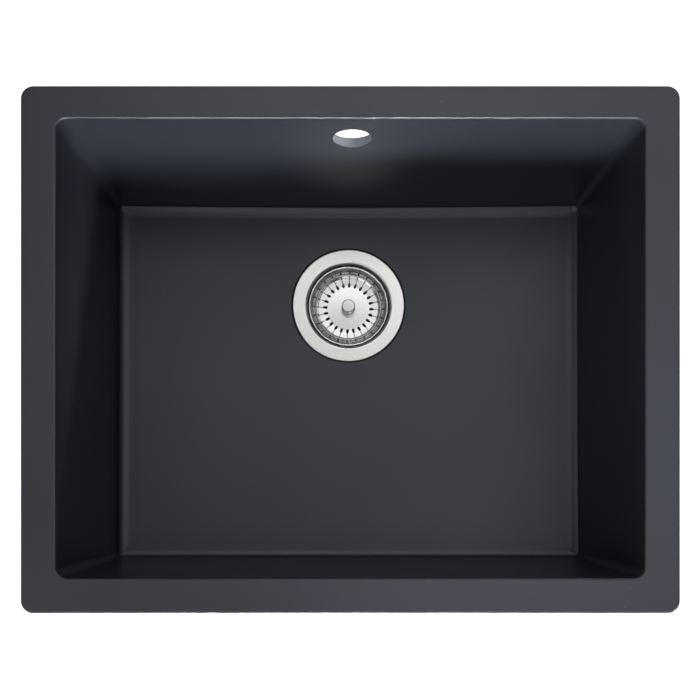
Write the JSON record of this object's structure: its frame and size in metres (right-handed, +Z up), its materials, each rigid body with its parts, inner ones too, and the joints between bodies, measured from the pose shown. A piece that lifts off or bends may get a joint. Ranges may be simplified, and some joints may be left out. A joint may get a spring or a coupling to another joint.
{
  "type": "undermount kitchen sink",
  "caption": "Rectangular single bowl kitchen sink for fixing under a worktop, with overflow hole, basket strainer waste and swing-out fixing clips.",
  "frame": {"origin": "centre of the rim's flat top face, which seats against the underside of the worktop", "axes": "+X to the right, +Y towards the back wall with the overflow hole, +Z up, away from the bowl"},
  "size_m": [0.55, 0.44, 0.2988],
  "materials": {
    "composite": "fine matte granite composite, near black with a blue-grey cast",
    "polished_steel": "pressed stainless steel, satin flange and polished basket",
    "turned_steel": "turned stainless steel",
    "zinc_plate": "bright zinc plated steel",
    "brass": "turned brass",
    "rubber": "moulded black rubber",
    "foam": "closed cell foam",
    "moulded_plastic": "fine textured black polypropylene"
  },
  "bodies": {
    "sink": {"sink_bowl": "composite", "strainer_dish": "polished_steel", "flange_seal": "foam", "body_gasket": "rubber", "waste_body": "moulded_plastic", "clamp_screw": "turned_steel", "screw_insert": "brass", "overflow_cap": "moulded_plastic", "overflow_cap_washer": "rubber", "clip_insert_left": "brass", "clip_insert_right": "brass", "clip_insert_back_left": "brass", "clip_insert_back_right": "brass", "clip_insert_front_left": "brass", "clip_insert_front_right": "brass", "clip_washer_left": "zinc_plate", "clip_washer_right": "zinc_plate", "clip_washer_back_left": "zinc_plate", "clip_washer_back_right": "zinc_plate", "clip_washer_front_left": "zinc_plate", "clip_washer_front_right": "zinc_plate", "clip_screw_left": "zinc_plate", "clip_screw_right": "zinc_plate", "clip_screw_back_left": "zinc_plate", "clip_screw_back_right": "zinc_plate", "clip_screw_front_left": "zinc_plate", "clip_screw_front_right": "zinc_plate"},
    "basket_plug": {"basket_seal": "rubber", "stem_o_ring": "rubber"},
    "basket_assembly": {"basket": "polished_steel", "basket_knob": "polished_steel", "basket_stem": "turned_steel", "seal_washer": "turned_steel", "stem_nut": "zinc_plate"},
    "clip_left": {"clip_arm_left": "zinc_plate"},
    "clip_right": {"clip_arm_right": "zinc_plate"},
    "clip_back_left": {"clip_arm_back_left": "zinc_plate"},
    "clip_back_right": {"clip_arm_back_right": "zinc_plate"},
    "clip_front_left": {"clip_arm_front_left": "zinc_plate"},
    "clip_front_right": {"clip_arm_front_right": "zinc_plate"}
  },
  "joints": [
    {"name": "basket_lift", "type": "slide", "parent": "sink", "child": "basket_plug", "axis": [0, 0, 1], "range_m": [0, 0.09]},
    {"name": "basket_turn", "type": "hinge", "parent": "basket_plug", "child": "basket_assembly", "pos_m": [0, 0.078, -0.2], "axis": [0, 0, 1], "continuous": true},
    {"name": "clip_swing_left", "type": "hinge", "parent": "sink", "child": "clip_left", "pos_m": [-0.2645, 0, -0.0115], "axis": [0, 0, -1], "range_deg": [0, 90]},
    {"name": "clip_swing_right", "type": "hinge", "parent": "sink", "child": "clip_right", "pos_m": [0.2645, 0, -0.0115], "axis": [0, 0, -1], "range_deg": [0, 90]},
    {"name": "clip_swing_back_left", "type": "hinge", "parent": "sink", "child": "clip_back_left", "pos_m": [-0.15, 0.2095, -0.0115], "axis": [0, 0, -1], "range_deg": [0, 90]},
    {"name": "clip_swing_back_right", "type": "hinge", "parent": "sink", "child": "clip_back_right", "pos_m": [0.15, 0.2095, -0.0115], "axis": [0, 0, -1], "range_deg": [0, 90]},
    {"name": "clip_swing_front_left", "type": "hinge", "parent": "sink", "child": "clip_front_left", "pos_m": [-0.15, -0.2095, -0.0115], "axis": [0, 0, -1], "range_deg": [0, 90]},
    {"name": "clip_swing_front_right", "type": "hinge", "parent": "sink", "child": "clip_front_right", "pos_m": [0.15, -0.2095, -0.0115], "axis": [0, 0, -1], "range_deg": [0, 90]}
  ]
}
